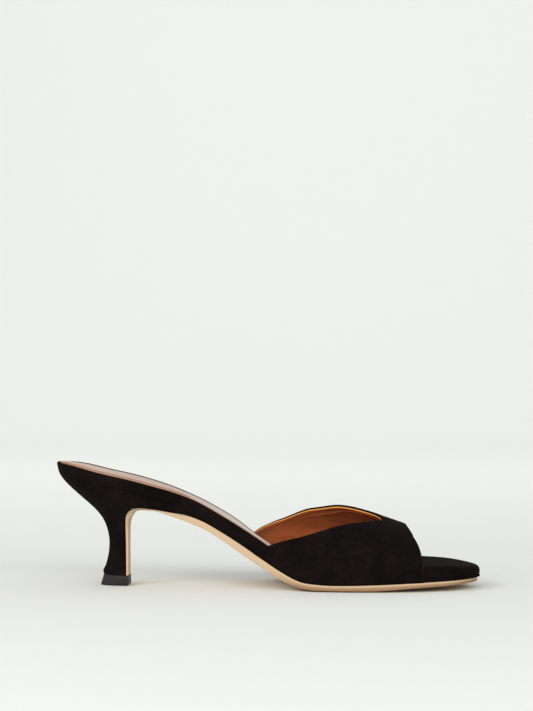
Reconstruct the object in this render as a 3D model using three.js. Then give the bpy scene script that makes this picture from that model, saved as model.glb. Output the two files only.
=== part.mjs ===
// Open-toe mule for the left foot, standing on its sole on a small waisted heel.
// Millimetres: +X runs to the toe, +Y to the outer side of the foot, +Z up, floor at z = 0.
// Six pieces: outsole, footbed, sock, upper, heel and top piece.
import * as THREE from 'three';

// ---------------------------------------------------------------- driving dimensions
const BACK_X = -115; // back of the footbed
const TOE_X = 116; // tip of the footbed
const GAP = 0.3; // room kept between neighbouring pieces
const WALL = 2.0; // suede and lining together
const SOLE_LEDGE = 0.8; // the outsole past the upper
const TOE_LEDGE = 1.0; // the outsole past the footbed along the open toe
const TIP_LEDGE = -1.4; // and short of it at the very tip
const SOLE_CROWN = 0.6; // rise of the outsole's underside at its edges
const BACK_LEAN = 1.6; // how far the back of the footbed leans out over the heel
const SOCK_THICKNESS = 1.2;
const SOCK_INSET = 2.0; // the footbed's suede rim round the sock
const SOCK_FRONT_X = 62; // where the sock ends, under the vamp
const HEEL_PAD = 0.3; // extra thickness of the sock under the heel
const HEEL_PAD_FRONT_X = -42;
const LIFT_HEIGHT = 5.4; // top piece
const LIFT_FRONT_X = -75.2;
const WEDGE_FRONT_X = -39; // where the heel's wedge runs out under the waist
const BREAST_X = -60; // where the outsole leaves the waist for the heel breast
const FOOT_PLACE = 0.12; // how far past the last the vamp's walls run straight down, as a place across
const TWIST = 0.035; // rise of the waist towards the inner side, per mm across
const OUTER_DROP = 3.4; // how much sooner the outer side comes down to the tread, in height

// Plan outline of the footbed: inner and outer edge at each station.
const OUTLINE = [
  { x: BACK_X, inner: 0, outer: 0 },
  { x: -109, inner: -15.4, outer: 15.4 },
  { x: -101, inner: -20.8, outer: 20.8 },
  { x: -88, inner: -23.6, outer: 23.6 },
  { x: -74, inner: -23.4, outer: 23.8 },
  { x: -58, inner: -21.6, outer: 23.2 },
  { x: -40, inner: -19.4, outer: 22.6 },
  { x: -22, inner: -19.4, outer: 23.8 },
  { x: -4, inner: -22.4, outer: 28.0 },
  { x: 12, inner: -26.8, outer: 33.0 },
  { x: 28, inner: -30.2, outer: 36.6 },
  { x: 44, inner: -31.8, outer: 38.2 },
  { x: 60, inner: -31.6, outer: 38.2 },
  { x: 76, inner: -30.6, outer: 36.2 },
  { x: 90, inner: -28.6, outer: 31.8 },
  { x: 103, inner: -23.8, outer: 22.0 },
  { x: 111, inner: -17.0, outer: 11.0 },
  { x: TOE_X, inner: -5.5, outer: -5.5 },
];

// Heights along the shoe: underside and top of the outsole, underside and top edge of the footbed.
const HEIGHTS = [
  { x: -118, soleUnder: 42.0, soleTop: 43.0, bedUnder: 61.3, bedTop: 67.9 },
  { x: -104, soleUnder: 42.0, soleTop: 43.0, bedUnder: 59.2, bedTop: 66.0 },
  { x: -89, soleUnder: 42.0, soleTop: 43.0, bedUnder: 55.9, bedTop: 62.3 },
  { x: -72, soleUnder: 42.0, soleTop: 43.1, bedUnder: 52.4, bedTop: 58.4 },
  { x: BREAST_X, soleUnder: 41.9, soleTop: 42.7, bedUnder: 48.4, bedTop: 55.0 },
  { x: -50, soleUnder: 38.3, soleTop: 40.6, bedUnder: 44.9, bedTop: 51.8 },
  { x: -43, soleUnder: 35.4, soleTop: 39.3, bedUnder: 41.3, bedTop: 49.1 },
  { x: -39, soleUnder: 33.6, soleTop: 37.8, bedUnder: 38.5, bedTop: 47.4 },
  { x: -34, soleUnder: 31.5, soleTop: 35.8, bedUnder: 36.1, bedTop: 44.9 },
  { x: -24, soleUnder: 25.5, soleTop: 30.2, bedUnder: 30.5, bedTop: 39.2 },
  { x: -13, soleUnder: 18.2, soleTop: 23.4, bedUnder: 23.7, bedTop: 32.6 },
  { x: -2, soleUnder: 11.3, soleTop: 16.3, bedUnder: 16.6, bedTop: 25.6 },
  { x: 8.5, soleUnder: 5.1, soleTop: 10.0, bedUnder: 10.3, bedTop: 18.8 },
  { x: 19.5, soleUnder: 1.1, soleTop: 5.1, bedUnder: 5.4, bedTop: 13.6 },
  { x: 30, soleUnder: 0, soleTop: 3.7, bedUnder: 4.0, bedTop: 11.6 },
  { x: 46, soleUnder: 0, soleTop: 3.5, bedUnder: 3.8, bedTop: 11.0 },
  { x: 60, soleUnder: 0.1, soleTop: 3.9, bedUnder: 4.2, bedTop: 11.4 },
  { x: 80, soleUnder: 1.5, soleTop: 4.8, bedUnder: 5.1, bedTop: 13.0 },
  { x: 98, soleUnder: 2.6, soleTop: 5.5, bedUnder: 5.8, bedTop: 13.4 },
  { x: 118, soleUnder: 4.0, soleTop: 6.3, bedUnder: 6.6, bedTop: 12.2 },
];

// The outsole's turn round the breast and down the front of the heel: its face against the
// heel, its outer face and its half width.
const BREAST = [
  { x: -64, z: 43.4, outX: -64, outZ: 42.3, half: 19.8 },
  { x: -68, z: 43.4, outX: -67.3, outZ: 42.2, half: 18.0 },
  { x: -71.2, z: 42.8, outX: -70.0, outZ: 41.4, half: 15.8 },
  { x: -73.8, z: 41.5, outX: -72.3, outZ: 40.1, half: 13.2 },
  { x: -75.6, z: 39.4, outX: -73.7, outZ: 38.0, half: 10.8 },
  { x: -76.5, z: 36.6, outX: -74.7, outZ: 35.8, half: 8.6 },
  { x: -76.7, z: 32.6, outX: -75.2, outZ: 32.6, half: 6.6 },
  { x: -76.6, z: 25.0, outX: -75.3, outZ: 25.0, half: 5.8 },
  { x: -76.5, z: 17.0, outX: -75.3, outZ: 17.0, half: 5.9 },
  { x: -76.4, z: 10.5, outX: -75.3, outZ: 10.5, half: 6.4 },
  { x: -76.4, z: LIFT_HEIGHT + GAP, outX: -75.3, outZ: LIFT_HEIGHT + GAP, half: 6.8 },
];

// Rings of the heel from the lift up to the seat: front and back of each ring, its half width,
// and how far it follows the footbed's outline (0 a plain D, 1 the outline).
const HEEL_RINGS = [
  { frontX: -76.7, frontZ: LIFT_HEIGHT + GAP, backX: -89.3, backZ: LIFT_HEIGHT + GAP, half: 7.4, seat: 0 },
  { frontX: -76.7, frontZ: 8.2, backX: -89.5, backZ: 8.0, half: 7.3, seat: 0 },
  { frontX: -76.7, frontZ: 11.5, backX: -88.1, backZ: 11.5, half: 6.7, seat: 0 },
  { frontX: -76.8, frontZ: 17.5, backX: -86.6, backZ: 17.5, half: 6.1, seat: 0 },
  { frontX: -76.9, frontZ: 24.5, backX: -86.3, backZ: 24.5, half: 6.0, seat: 0 },
  { frontX: -77.0, frontZ: 31.0, backX: -87.5, backZ: 31.0, half: 6.8, seat: 0 },
  { frontX: -76.9, frontZ: 36.0, backX: -89.7, backZ: 36.2, half: 8.9, seat: 0 },
  { frontX: -76.0, frontZ: 39.6, backX: -92.9, backZ: 40.5, half: 11.6, seat: 0 },
  { frontX: -74.0, frontZ: 41.9, backX: -97.1, backZ: 44.6, half: 14.2, seat: 0.1 },
  { frontX: -71.4, frontZ: 43.2, backX: -101.4, backZ: 48.4, half: 16.8, seat: 0.3 },
  { frontX: -68.0, frontZ: 43.8, backX: -105.6, backZ: 52.2, half: 19.2, seat: 0.55 },
  { frontX: -62.0, frontZ: 43.7, backX: -109.5, backZ: 56.0, half: 21.2, seat: 0.85 },
  { frontX: -52.0, frontZ: 42.1, backX: -112.0, backZ: 58.9, half: 22.4, seat: 1 },
];

// The last above the footbed: height and sideways place of the crown, and how square the arch is.
const LAST = [
  { x: -20, crown: 55, middle: 2.5, square: 2.1 },
  { x: 0, crown: 51.8, middle: 2.5, square: 2.1 },
  { x: 20, crown: 48.4, middle: 3, square: 2.1 },
  { x: 40, crown: 44.3, middle: 3.5, square: 2.1 },
  { x: 60, crown: 37.3, middle: 3.5, square: 2.1 },
  { x: 75, crown: 32.2, middle: 3, square: 2.2 },
  { x: 90, crown: 27.5, middle: 2, square: 2.3 },
];

// The vamp's edges from the inner side (0) over the crown (0.5) to the outer side (1).
const NOTCH = 0.395;
const TOPLINE_INNER = [
  { across: -FOOT_PLACE, x: -6 },
  { across: 0, x: 2.2 },
  { across: 0.1, x: 14.3 },
  { across: 0.2, x: 33.8 },
  { across: 0.3, x: 52.2 },
  { across: NOTCH, x: 63.4 },
];
const TOPLINE_OUTER = [
  { across: NOTCH, x: 63.4 },
  { across: 0.48, x: 61.4 },
  { across: 0.56, x: 55.6 },
  { across: 0.65, x: 38.3 },
  { across: 0.7, x: 30.2 },
  { across: 0.8, x: 9.0 },
  { across: 0.9, x: -1.7 },
  { across: 1, x: -8.2 },
  { across: 1 + FOOT_PLACE, x: -14 },
];
const FRONT_EDGE = [
  { across: -FOOT_PLACE, x: 85.2 },
  { across: 0, x: 84.9 },
  { across: 0.2, x: 82.3 },
  { across: 0.35, x: 78.2 },
  { across: 0.5, x: 75.4 },
  { across: 0.65, x: 76.6 },
  { across: 0.8, x: 79.9 },
  { across: 1, x: 82.6 },
  { across: 1 + FOOT_PLACE, x: 83.0 },
];

// ---------------------------------------------------------------- interpolation
const lerp = (a, b, t) => a + (b - a) * t;
const clamp01 = (t) => Math.min(1, Math.max(0, t));
const ease = (t) => clamp01(t) ** 2 * (3 - 2 * clamp01(t));

// Cubic Hermite curve through a table: slopes are the mean of the neighbouring chords.
function tableAt(rows, key, column, at, stretch = (v) => v) {
  const last = rows.length - 1;
  const where = stretch(Math.min(rows[last][key], Math.max(rows[0][key], at)));
  const place = (i) => stretch(rows[i][key]);
  const chord = (i) => (rows[i + 1][column] - rows[i][column]) / (place(i + 1) - place(i));
  const slope = (i) => {
    if (i === 0) return chord(0);
    if (i === last) return chord(last - 1);
    const before = place(i) - place(i - 1);
    const after = place(i + 1) - place(i);
    return (chord(i - 1) * after + chord(i) * before) / (before + after);
  };
  let i = 0;
  while (i < last - 1 && where > place(i + 1)) i += 1;
  const span = place(i + 1) - place(i);
  const t = (where - place(i)) / span;
  const t2 = t * t;
  const t3 = t2 * t;
  return (2 * t3 - 3 * t2 + 1) * rows[i][column]
    + (t3 - 2 * t2 + t) * span * slope(i)
    + (3 * t2 - 2 * t3) * rows[i + 1][column]
    + (t3 - t2) * span * slope(i + 1);
}

// The outline is spaced so that both of its ends come out round.
const roundEnds = (x) => Math.acos(Math.min(1, Math.max(-1, 1 - 2 * (x - BACK_X) / (TOE_X - BACK_X))));
const edgeY = (x, side) => tableAt(OUTLINE, 'x', side, x, roundEnds);
const heightAt = (x, column) => tableAt(HEIGHTS, 'x', column, x);

// The waist leans: its inner side stands a little higher than its outer side, which also
// comes down to the tread sooner.
function lean(x, y) {
  const waist = ease((x + 66) / 30) * (1 - ease((x + 4) / 26));
  const drop = ease((x + 24) / 28) * (1 - ease((x - 6) / 18)) * ease((y + 8) / 36);
  return -TWIST * waist * y - OUTER_DROP * drop;
}

// A point of the outline at angle u (0 back, PI toe), moved out by a ledge in plan.
function rimPoint(u, side, ledge) {
  const xAt = (a) => BACK_X + (TOE_X - BACK_X) * (1 - Math.cos(a)) / 2;
  const step = 0.01;
  const low = Math.max(0, u - step);
  const high = Math.min(Math.PI, u + step);
  const dx = xAt(high) - xAt(low);
  const dy = edgeY(xAt(high), side) - edgeY(xAt(low), side);
  const size = Math.hypot(dx, dy);
  const away = side === 'inner' ? -1 : 1;
  return { x: xAt(u) - away * dy / size * ledge, y: edgeY(xAt(u), side) + away * dx / size * ledge };
}

// ---------------------------------------------------------------- closed meshes
function meshFrom(name, points, faces, material) {
  const geometry = new THREE.BufferGeometry();
  const flat = points.flatMap((p) => [p[0], p[1], p[2] + lean(p[0], p[1])]);
  geometry.setAttribute('position', new THREE.Float32BufferAttribute(flat, 3));
  geometry.setIndex(faces.flat());
  geometry.computeVertexNormals();
  const mesh = new THREE.Mesh(geometry, material);
  mesh.name = name;
  return mesh;
}

// A tube of closed loops with equal counts, its first and last loops filled by strips that
// join point k to point count - 1 - k.
function loft(name, loops, material) {
  const count = loops[0].length;
  const faces = [];
  for (let i = 0; i < loops.length - 1; i += 1) {
    for (let k = 0; k < count; k += 1) {
      const a = i * count + k;
      const b = i * count + (k + 1) % count;
      faces.push([a, b, b + count], [a, b + count, a + count]);
    }
  }
  const cap = (start, flip) => {
    for (let k = 0; k < count / 2 - 1; k += 1) {
      const quad = [start + k, start + k + 1, start + count - 2 - k, start + count - 1 - k];
      const [a, b, c, d] = flip ? quad.reverse() : quad;
      faces.push([a, b, c], [a, c, d]);
    }
  };
  cap(0, true);
  cap((loops.length - 1) * count, false);
  return meshFrom(name, loops.flat(), faces, material);
}

// Points straight across from one edge to the other, at a height given by the station.
function across(left, right, count, zAt) {
  return Array.from({ length: count + 1 }, (_, k) => {
    const x = lerp(left.x, right.x, k / count);
    const y = lerp(left.y, right.y, k / count);
    return [x, y, zAt(x)];
  });
}

// ---------------------------------------------------------------- materials
const suede = () => new THREE.MeshStandardMaterial({ color: 0x211b1b, roughness: 0.95 });
const soleLeather = () => new THREE.MeshStandardMaterial({ color: 0xe4cdaf, roughness: 0.6 });
const liningLeather = () => new THREE.MeshStandardMaterial({ color: 0xb9835c, roughness: 0.55 });
const rubber = () => new THREE.MeshStandardMaterial({ color: 0x454340, roughness: 0.7 });

// ---------------------------------------------------------------- pieces
const SECTIONS = 46; // stations along a full-length piece
const STRIPS = 6; // strips across a piece
const END_ANGLE = 0.035; // how near the outline's ends the first and last stations lie

// How far the outsole stands past the footbed: past the upper's wall along the vamp, less in
// the open toe, and nothing at the waist.
function soleLedge(x) {
  const vamp = GAP + WALL + SOLE_LEDGE;
  const waist = -0.5;
  if (x < 0) return lerp(waist, vamp, ease((x + 24) / 24));
  return lerp(vamp, TOE_LEDGE, ease((x - 78) / 16)) + (TIP_LEDGE - TOE_LEDGE) * ease((x - 98) / 18);
}

// Outsole: loops across the sole from the toe back to the waist, then round the breast.
function makeOutsole() {
  const loops = [];
  const start = roundEnds(BREAST_X);
  for (let i = 0; i <= SECTIONS; i += 1) {
    const u = lerp(Math.PI - END_ANGLE, start, i / SECTIONS);
    const x = BACK_X + (TOE_X - BACK_X) * (1 - Math.cos(u)) / 2;
    const left = rimPoint(u, 'inner', soleLedge(x));
    const right = rimPoint(u, 'outer', soleLedge(x));
    const top = across(left, right, STRIPS, (at) => heightAt(at, 'soleTop'));
    const under = across(left, right, STRIPS, (at) => Math.max(0, heightAt(at, 'soleUnder')));
    under[0][2] += SOLE_CROWN;
    under[STRIPS][2] += SOLE_CROWN;
    loops.push([...top, ...under.reverse()]);
  }
  for (const row of BREAST) {
    const middle = lerp(0.9, 0, clamp01((BREAST_X - row.x) / 12));
    const top = across(
      { x: row.x, y: middle - row.half }, { x: row.x, y: middle + row.half }, STRIPS, () => row.z);
    const under = across(
      { x: row.outX, y: middle - row.half }, { x: row.outX, y: middle + row.half }, STRIPS, () => row.outZ);
    loops.push([...top, ...under.reverse()]);
  }
  return loft('outsole', loops, soleLeather());
}

// A layer that follows the outline from station to station, between two height functions.
// The rim is a level border of that width, and the recess a sunk floor inside it.
function layer(name, { from, to, inset, underInset, under, top, rim = 0, recess = () => 0, material }) {
  const loops = [];
  for (let i = 0; i <= SECTIONS; i += 1) {
    const u = lerp(from, to, i / SECTIONS);
    const x = BACK_X + (TOE_X - BACK_X) * (1 - Math.cos(u)) / 2;
    const left = rimPoint(u, 'inner', -inset);
    const right = rimPoint(u, 'outer', -inset);
    const lowLeft = rimPoint(u, 'inner', -underInset(x));
    const lowRight = rimPoint(u, 'outer', -underInset(x));
    const upper = rim > 0
      ? rimmed(left, right, Math.min(rim, (right.y - left.y) / 3), recess(x), top)
      : across(left, right, STRIPS, top);
    const lower = across(lowLeft, lowRight, upper.length - 1, under);
    loops.push([...lower, ...upper.reverse()]);
  }
  return loft(name, loops, material);
}

// A border on both sides and a sunk floor between them.
function rimmed(left, right, rim, depth, zAt) {
  const width = right.y - left.y;
  const place = (y) => lerp(left.x, right.x, (y - left.y) / width);
  const lipLeft = left.y + rim;
  const lipRight = right.y - rim;
  const points = [[left.x, left.y, zAt(left.x)], [place(lipLeft), lipLeft, zAt(place(lipLeft))]];
  for (let k = 0; k <= STRIPS; k += 1) {
    const y = lerp(lipLeft, lipRight, k / STRIPS);
    points.push([place(y), y, zAt(place(y)) - depth]);
  }
  points.push([place(lipRight), lipRight, zAt(place(lipRight))], [right.x, right.y, zAt(right.x)]);
  return points;
}

// Footbed: the full outline, lying on the outsole and on the heel, sunk for the sock.
function makeFootbed() {
  const depth = SOCK_THICKNESS + GAP;
  return layer('footbed', {
    from: END_ANGLE,
    to: Math.PI - END_ANGLE,
    inset: 0,
    underInset: (x) => BACK_LEAN * (1 - ease((x - BACK_X) / 30)),
    rim: SOCK_INSET,
    recess: (x) => depth * ease((x - BACK_X - 0.9) / 1.0) * (1 - ease((x - SOCK_FRONT_X - 8) / 4)) + 0.02,
    under: (x) => heightAt(x, 'bedUnder'),
    top: (x) => heightAt(x, 'bedTop'),
    material: suede(),
  });
}

// Sock: the lining in the footbed's recess, a little thicker under the heel.
function makeSock() {
  const floor = (x) => heightAt(x, 'bedTop') - SOCK_THICKNESS;
  const pad = (x) => HEEL_PAD * (1 - ease((x - HEEL_PAD_FRONT_X) / 4));
  const inset = SOCK_INSET + GAP;
  return layer('sock', {
    from: END_ANGLE,
    to: roundEnds(SOCK_FRONT_X),
    inset,
    underInset: () => inset,
    under: floor,
    top: (x) => floor(x) + SOCK_THICKNESS + pad(x),
    material: liningLeather(),
  });
}

// Inner face of the upper. Across runs from 0 at the footbed's inner top edge to 1 at its
// outer top edge; below 0 and above 1 the wall drops straight down to the outsole.
function lastPoint(x, at, out = 0) {
  const low = heightAt(x, 'bedTop');
  const foot = heightAt(x, 'soleTop') + GAP;
  const left = edgeY(x, 'inner') - GAP - out;
  const right = edgeY(x, 'outer') + GAP + out;
  if (at < 0) return [x, left, lerp(low, foot, clamp01(-at / FOOT_PLACE))];
  if (at > 1) return [x, right, lerp(low, foot, clamp01((at - 1) / FOOT_PLACE))];
  const middle = tableAt(LAST, 'x', 'middle', x);
  const crown = tableAt(LAST, 'x', 'crown', x) + out;
  const power = 2 / tableAt(LAST, 'x', 'square', x);
  const angle = Math.PI * at;
  const reach = Math.sign(Math.cos(angle)) * Math.abs(Math.cos(angle)) ** power;
  const y = reach > 0 ? lerp(middle, left, reach) : lerp(middle, right, -reach);
  return [x, y, low + (crown - low) * Math.sin(angle) ** power];
}

// Where the vamp's topline and front edge lie at a place across.
const toplineX = (at) => tableAt(at < NOTCH ? TOPLINE_INNER : TOPLINE_OUTER, 'across', 'x', at);
const frontX = (at) => tableAt(FRONT_EDGE, 'across', 'x', at);

// Places across the vamp: the straight foot of each wall, then even steps to the notch.
function vampPlaces() {
  const half = 13;
  const inner = Array.from({ length: half + 1 }, (_, k) => NOTCH * k / half);
  const outer = Array.from({ length: half }, (_, k) => lerp(NOTCH, 1, (k + 1) / half));
  return [-FOOT_PLACE, -FOOT_PLACE / 2, ...inner, ...outer, 1 + FOOT_PLACE / 2, 1 + FOOT_PLACE];
}

// Upper: loops round the wall's section, taken across the vamp from side to side.
function makeUpper() {
  const along = 14;
  const loops = vampPlaces().map((at) => {
    const stations = Array.from({ length: along + 1 }, (_, j) => lerp(toplineX(at), frontX(at), j / along));
    const lining = stations.map((x) => lastPoint(x, at));
    const outside = stations.map((x) => lastPoint(x, at, WALL));
    return [...outside, ...lining.reverse()];
  });
  return loft('upper', loops, suede());
}

// Heel: rings from the lift to the seat, each a flat breast and a round back.
function makeHeel() {
  const strips = 4;
  const arcs = 14;
  const top = { frontX: WEDGE_FRONT_X, backX: -113.4, half: 23.6, seat: 1, closes: true };
  const rings = [...HEEL_RINGS, top].map((row) => {
    const side = (name, sign) => Array.from({ length: arcs + 1 }, (_, k) => {
      const turn = Math.PI / 2 * k / arcs;
      const x = lerp(row.frontX, row.backX, Math.sin(turn));
      const seatX = lerp(WEDGE_FRONT_X, BACK_X, (WEDGE_FRONT_X - x) / (WEDGE_FRONT_X - row.backX));
      const plain = sign * row.half * Math.cos(turn);
      const y = lerp(plain, edgeY(seatX, name), row.seat);
      const seatZ = heightAt(x, 'bedUnder') - GAP;
      if (row.closes) return [x, y, seatZ];
      const level = lerp(row.frontZ, row.backZ, Math.sin(turn));
      return [x, y, Math.min(seatZ - 0.2, level)];
    });
    const inner = side('inner', -1);
    const outer = side('outer', 1);
    const from = inner[0];
    const to = outer[0];
    const breast = Array.from({ length: strips - 1 }, (_, k) => [
      from[0], lerp(to[1], from[1], (k + 1) / strips), from[2]]);
    return { inner, outer: outer.slice(0, arcs).reverse(), breast };
  });
  const loops = rings.map((ring) => [...ring.inner, ...ring.outer, ...ring.breast]);
  return ringSolid('heel', loops, suede());
}

// A tube of loops closed at both ends by fans round their middle points.
function ringSolid(name, loops, material) {
  const count = loops[0].length;
  const faces = [];
  for (let i = 0; i < loops.length - 1; i += 1) {
    for (let k = 0; k < count; k += 1) {
      const a = i * count + k;
      const b = i * count + (k + 1) % count;
      faces.push([a, b + count, b], [a, a + count, b + count]);
    }
  }
  const points = loops.flat();
  const fan = (start, flip) => {
    const ring = points.slice(start, start + count);
    const centre = [0, 1, 2].map((axis) => ring.reduce((sum, p) => sum + p[axis], 0) / count);
    const hub = points.push(centre) - 1;
    for (let k = 0; k < count; k += 1) {
      const a = start + k;
      const b = start + (k + 1) % count;
      faces.push(flip ? [hub, b, a] : [hub, a, b]);
    }
  };
  fan(0, false);
  fan((loops.length - 1) * count, true);
  return meshFrom(name, points, faces, material);
}

// Top piece: a D-shaped rubber lift that spreads a little towards the floor.
function makeTopPiece() {
  const arcs = 14;
  const ring = (z, backX, half) => {
    const side = (sign) => Array.from({ length: arcs + 1 }, (_, k) => {
      const turn = Math.PI / 2 * k / arcs;
      return [lerp(LIFT_FRONT_X, backX, Math.sin(turn)), sign * half * Math.cos(turn), z];
    });
    return [...side(-1), ...side(1).slice(0, arcs).reverse()];
  };
  const loops = [ring(0, -90.3, 7.5), ring(0.4, -90.5, 7.6), ring(LIFT_HEIGHT, -89.2, 7.5)];
  return ringSolid('top_piece', loops, rubber());
}

const shoe = new THREE.Group();
shoe.add(makeOutsole(), makeFootbed(), makeSock(), makeUpper(), makeHeel(), makeTopPiece());

// The origin lies on the floor under the middle of the shoe.
const middle = new THREE.Box3().setFromObject(shoe).getCenter(new THREE.Vector3());
shoe.position.set(-middle.x, -middle.y, 0);

export default shoe;
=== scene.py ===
"""Open-toe suede mule for the left foot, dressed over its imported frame.

Every piece is a surface worked out from the last: a plan outline, a set of heights along the
shoe and an arch over the foot. Those tables are in millimetres, in the maker's own frame, whose
X = 0 lies at the middle of the last and whose Y = 0 is the heel's axis. place() carries them
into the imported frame, in metres.
"""

import math

import bmesh
import bpy
import numpy as np
from bpy.props import FloatProperty, FloatVectorProperty, IntProperty, PointerProperty
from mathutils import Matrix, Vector


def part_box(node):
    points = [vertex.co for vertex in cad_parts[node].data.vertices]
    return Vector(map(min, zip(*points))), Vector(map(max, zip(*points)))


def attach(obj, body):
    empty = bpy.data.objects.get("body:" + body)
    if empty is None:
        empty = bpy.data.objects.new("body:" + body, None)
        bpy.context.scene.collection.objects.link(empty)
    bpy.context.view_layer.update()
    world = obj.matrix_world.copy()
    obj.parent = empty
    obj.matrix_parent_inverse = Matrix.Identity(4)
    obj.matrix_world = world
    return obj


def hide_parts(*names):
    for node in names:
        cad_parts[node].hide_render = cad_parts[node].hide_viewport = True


bl_info = {
    "name": "Open-toe Mule",
    "version": (1, 0, 0),
    "blender": (4, 5, 0),
    "location": "View3D > Sidebar > Mule",
    "description": "Builds a suede mule piece by piece round its packed frame",
    "category": "Add Mesh",
}

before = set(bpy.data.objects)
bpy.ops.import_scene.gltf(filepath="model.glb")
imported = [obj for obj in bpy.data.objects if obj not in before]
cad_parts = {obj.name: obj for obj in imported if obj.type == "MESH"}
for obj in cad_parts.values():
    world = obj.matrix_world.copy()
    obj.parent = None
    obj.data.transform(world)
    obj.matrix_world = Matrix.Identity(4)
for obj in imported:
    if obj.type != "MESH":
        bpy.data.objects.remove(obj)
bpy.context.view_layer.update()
MM = 0.001

# ---- the last, in millimetres
BACK_X, TOE_X = -115.0, 116.0
BREAST_X, WEDGE_FRONT_X = -60.0, -39.0  # where the flap starts down, where the heel's wedge ends
LIFT_FRONT_X, LIFT_LENGTH = -75.2, 14.0
LIFT_HEIGHT, LIFT_WEDGE = 5.4, 0.5  # its height in front, and what it gains behind
TWIST, OUTER_DROP = 0.035, 3.4  # the waist's slope across, the outer side's early fall
GAP = 0.3  # between neighbouring pieces
WALL = 2.0  # the vamp's suede and lining together
FOOT_PLACE, NOTCH = 0.12, 0.395  # places across the vamp: a wall's foot, the V's point
SOLE_LEDGE = 0.8  # how far the sole stands past the vamp
WAIST_LEDGE, TOE_LEDGE, TIP_LEDGE = -0.5, 1.0, -1.4  # and past the footbed
SOLE_CROWN = 0.6  # rise of the sole's underside to its edge
BREAST_MIDDLE, BREAST_RUN = 0.9, 12.0  # the flap's middle starts aside, and runs to the axis
SEAT_ROUND, WAIST_ROUND, LIP_ROUND = 0.12, 0.5, 0.2  # the footbed's lower edge
BACK_LEAN, BED_PUFF, BED_SUNK = 1.6, 0.25, 0.75
GROOVE_DEEP, GROOVE_UP, GROOVE_WIDE, LIP_OUT = 0.55, 1.25, 0.32, 0.12  # the lip at the toe
SOCK_RIM, SOCK_THICK, SOCK_LOW_ROUND = 2.0, 1.0, 0.1
SOCK_FRONT_X, PAD_FRONT_X, PAD_STEP = 62.0, -42.0, 2.4
PULL_HIGH, BALL_DEEP, SWELL_HIGH = 0.05, 0.2, 0.11  # creases of the suede
FOLD_DEEP, RIPPLE_DEEP = 0.55, 0.12  # creases of the lining
SEAT_GAP, SKIN_GAP = 0.06, 0.03  # heel to footbed, suede to lining
THREAD_RADIUS, THREAD_FLAT, STITCH_SHARE = 0.21, 0.8, 0.42  # half a stitch as a share of its pitch
LENS = 120.5
CAMERA_SPOT, CAMERA_AIM = (69.5, -1298.1, 140.0), (0.0, 0.0, 125.7)

# ---- points on curves, and shares of the way across a section
ROUND_POINTS, EDGE_POINTS, BREAST_POINTS, SOCK_FRONT_POINTS = 6, 5, 9, 40
STITCH_RINGS, STITCH_SIDES = 6, 7
LIFT_ARCS, LIFT_BREAST_POINTS = 40, 12
CORNER_SOFTNESS, CORNER_PASSES = (0.4, 0.8, 1, 0.8, 0.4), 4
SOLE_SHARES = np.array([0.03, 0.08, 0.16, 0.27, 0.4, 0.55, 0.75, 1.0])
SOLE_WALL = np.linspace(0, 1, 7)[1:-1]
# Darkness of the sole's lower edge, column by column up from the underside: burnishing together with
# painted contact shadow.
SOLE_BURNISH_AND_SHADE = (1, 1, 1, 0.97, 0.95, 0.92, 0.88, 0.82, 0.7, 0.5, 0.22)
BED_SHARES = np.array([0.02, 0.05, 0.09, 0.12, 0.2, 0.35, 0.6, 1.0])
BED_WALL = np.concatenate([np.linspace(0.02, 0.26, 13), np.linspace(0.32, 0.96, 9)])
SOCK_SHARES = np.array([0.015, 0.035, 0.06, 0.1, 0.17, 0.3, 0.5, 0.75, 1.0])
# How the painted shade on the sock's edge fades over its top roll.
SOCK_SHADE_FADE = np.array([[1, 1, 0.85, 0.6, 0.35, 0.15, 0]])


def columns(names, rows):
    """A table as one array for each named column."""
    return dict(zip(names.split(), np.array(rows, float).T))


OUTLINE = columns("x inner outer", [
    (BACK_X, 0, 0), (-109, -15.4, 15.4), (-101, -20.8, 20.8), (-88, -23.6, 23.6),
    (-74, -23.4, 23.8), (-58, -21.6, 23.2), (-40, -19.4, 22.6), (-22, -19.4, 23.8),
    (-4, -22.4, 28.0), (12, -26.8, 33.0), (28, -30.2, 36.6), (44, -31.8, 38.2),
    (60, -31.6, 38.2), (76, -30.6, 36.2), (90, -28.6, 31.8), (103, -23.8, 22.0),
    (111, -17.0, 11.0), (TOE_X, -5.5, -5.5),
])
HEIGHTS = columns("x sole_under sole_top bed_under bed_top", [
    (-118, 42.0, 43.0, 61.3, 67.9), (-104, 42.0, 43.0, 59.2, 66.0), (-89, 42.0, 43.0, 55.9, 62.3),
    (-72, 42.0, 43.1, 52.4, 58.4), (BREAST_X, 41.9, 42.7, 48.4, 55.0), (-50, 38.3, 40.6, 44.9, 51.8),
    (-43, 35.4, 39.3, 41.3, 49.1), (-39, 33.6, 37.8, 38.5, 47.4), (-34, 31.5, 35.8, 36.1, 44.9),
    (-24, 25.5, 30.2, 30.5, 39.2), (-13, 18.2, 23.4, 23.7, 32.6), (-2, 11.3, 16.3, 16.6, 25.6),
    (8.5, 5.1, 10.0, 10.3, 18.8), (19.5, 1.1, 5.1, 5.4, 13.6), (30, 0, 3.7, 4.0, 11.6),
    (46, 0, 3.5, 3.8, 11.0), (60, 0.1, 3.9, 4.2, 11.4), (80, 1.5, 4.8, 5.1, 13.3),
    (98, 2.4, 5.5, 5.8, 13.5), (118, 3.7, 6.3, 6.6, 12.2),
])
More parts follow.
